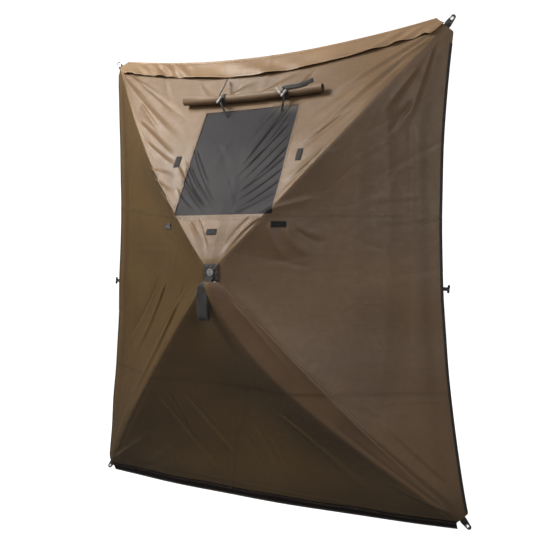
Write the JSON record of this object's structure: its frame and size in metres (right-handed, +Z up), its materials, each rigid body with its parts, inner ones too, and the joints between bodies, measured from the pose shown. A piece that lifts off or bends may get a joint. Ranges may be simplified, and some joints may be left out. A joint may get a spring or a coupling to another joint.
{
  "type": "field blind wall",
  "caption": "Pop-out fabric wall of a hub-style field blind: pyramid of brown cloth over four folding poles, window, rolled cover and pull strap.",
  "frame": {"origin": "floor level under the middle of the wall's bounding box", "axes": "+X to the right seen from outside, -Y out of the blind, where the hub points, +Z up"},
  "size_m": [1.5306, 0.4218, 1.699],
  "materials": {
    "shell_cloth": "coated polyester, brown-tan, slightly glossy plain weave",
    "window_film": "smoked film, semi-gloss, creased",
    "skirt_cloth": "dark coated cloth, matt",
    "black_webbing": "woven black webbing, matt",
    "strap_webbing": "woven charcoal webbing, slight sheen",
    "patch_cloth": "grey reinforcement cloth, matt",
    "hook_pad": "black hook-and-loop pad, fuzzy",
    "rod_fibre": "black pultruded glass-fibre rod, satin",
    "ferrule_metal": "drawn aluminium, satin",
    "hub_plastic": "moulded nylon, fine texture",
    "bright_steel": "nickel-plated steel, bright"
  },
  "bodies": {
    "hub": {"hub_body": "hub_plastic", "hinge_pins": "bright_steel", "hub_back_cap": "hub_plastic", "cap_screws": "bright_steel", "hub_patch": "patch_cloth", "hub_eye": "bright_steel", "strap_anchor": "strap_webbing"},
    "pull_strap": {"pull_strap": "strap_webbing", "strap_buckle": "bright_steel"},
    "pole_upper_left": {"pole_rod_upper_left": "rod_fibre", "pole_eye_upper_left": "ferrule_metal", "pole_cap_upper_left": "hub_plastic", "corner_pocket_upper_left": "black_webbing", "corner_eyelet_upper_left": "bright_steel", "side_cloth_upper_left": "shell_cloth", "side_binding_upper_left": "black_webbing", "top_cloth_left": "shell_cloth", "header_flap_left": "shell_cloth", "window_film_left": "window_film", "rolled_cover_left": "shell_cloth", "cover_tie_left": "black_webbing", "tie_toggle_left": "bright_steel", "upper_pad_left": "hook_pad", "lower_pad_left": "hook_pad", "lower_pad_centre": "hook_pad"},
    "pole_upper_right": {"pole_rod_upper_right": "rod_fibre", "pole_eye_upper_right": "ferrule_metal", "pole_cap_upper_right": "hub_plastic", "corner_pocket_upper_right": "black_webbing", "corner_eyelet_upper_right": "bright_steel", "side_cloth_upper_right": "shell_cloth", "side_binding_upper_right": "black_webbing", "top_cloth_right": "shell_cloth", "header_flap_right": "shell_cloth", "window_film_right": "window_film", "rolled_cover_right": "shell_cloth", "cover_tie_right": "black_webbing", "tie_toggle_right": "bright_steel", "upper_pad_right": "hook_pad", "lower_pad_right": "hook_pad"},
    "pole_lower_left": {"pole_rod_lower_left": "rod_fibre", "pole_eye_lower_left": "ferrule_metal", "pole_cap_lower_left": "hub_plastic", "corner_pocket_lower_left": "black_webbing", "corner_eyelet_lower_left": "bright_steel", "side_cloth_lower_left": "shell_cloth", "side_binding_lower_left": "black_webbing", "bottom_cloth_left": "shell_cloth", "floor_skirt_left": "skirt_cloth", "side_toggle_left": "black_webbing"},
    "pole_lower_right": {"pole_rod_lower_right": "rod_fibre", "pole_eye_lower_right": "ferrule_metal", "pole_cap_lower_right": "hub_plastic", "corner_pocket_lower_right": "black_webbing", "corner_eyelet_lower_right": "bright_steel", "side_cloth_lower_right": "shell_cloth", "side_binding_lower_right": "black_webbing", "bottom_cloth_right": "shell_cloth", "floor_skirt_right": "skirt_cloth", "side_toggle_right": "black_webbing"}
  },
  "joints": [
    {"name": "fold_upper_left", "type": "hinge", "parent": "hub", "child": "pole_upper_left", "pos_m": [-0.02419, -0.172, 0.88431], "axis": [-0.7712, 0, -0.6366], "range_deg": [0, 70], "deforming": ["side_cloth_upper_left", "side_binding_upper_left", "top_cloth_left", "header_flap_left", "window_film_left", "rolled_cover_left", "cover_tie_left", "tie_toggle_left", "upper_pad_left", "lower_pad_left", "lower_pad_centre"]},
    {"name": "fold_upper_right", "type": "hinge", "parent": "hub", "child": "pole_upper_right", "pos_m": [0.02419, -0.172, 0.88431], "axis": [-0.7712, 0, 0.6366], "range_deg": [0, 70], "deforming": ["side_cloth_upper_right", "side_binding_upper_right", "top_cloth_right", "header_flap_right", "window_film_right", "rolled_cover_right", "cover_tie_right", "tie_toggle_right", "upper_pad_right", "lower_pad_right"]},
    {"name": "fold_lower_left", "type": "hinge", "parent": "hub", "child": "pole_lower_left", "pos_m": [-0.02534, -0.172, 0.82668], "axis": [0.7452, 0, -0.6668], "range_deg": [0, 71], "deforming": ["side_cloth_lower_left", "side_binding_lower_left", "bottom_cloth_left", "floor_skirt_left", "side_toggle_left"]},
    {"name": "fold_lower_right", "type": "hinge", "parent": "hub", "child": "pole_lower_right", "pos_m": [0.02534, -0.172, 0.82668], "axis": [0.7452, 0, 0.6668], "range_deg": [0, 71], "deforming": ["side_cloth_lower_right", "side_binding_lower_right", "bottom_cloth_right", "floor_skirt_right", "side_toggle_right"]},
    {"name": "strap_swing", "type": "hinge", "parent": "hub", "child": "pull_strap", "pos_m": [-0.006, -0.2009, 0.837], "axis": [-1, 0, 0], "range_deg": [-10, 100]}
  ],
  "couplings": [
    {"joint": "fold_upper_right", "follows": "fold_upper_left", "ratio": 1},
    {"joint": "fold_lower_left", "follows": "fold_upper_left", "ratio": 1.012},
    {"joint": "fold_lower_right", "follows": "fold_upper_left", "ratio": 1.012}
  ]
}
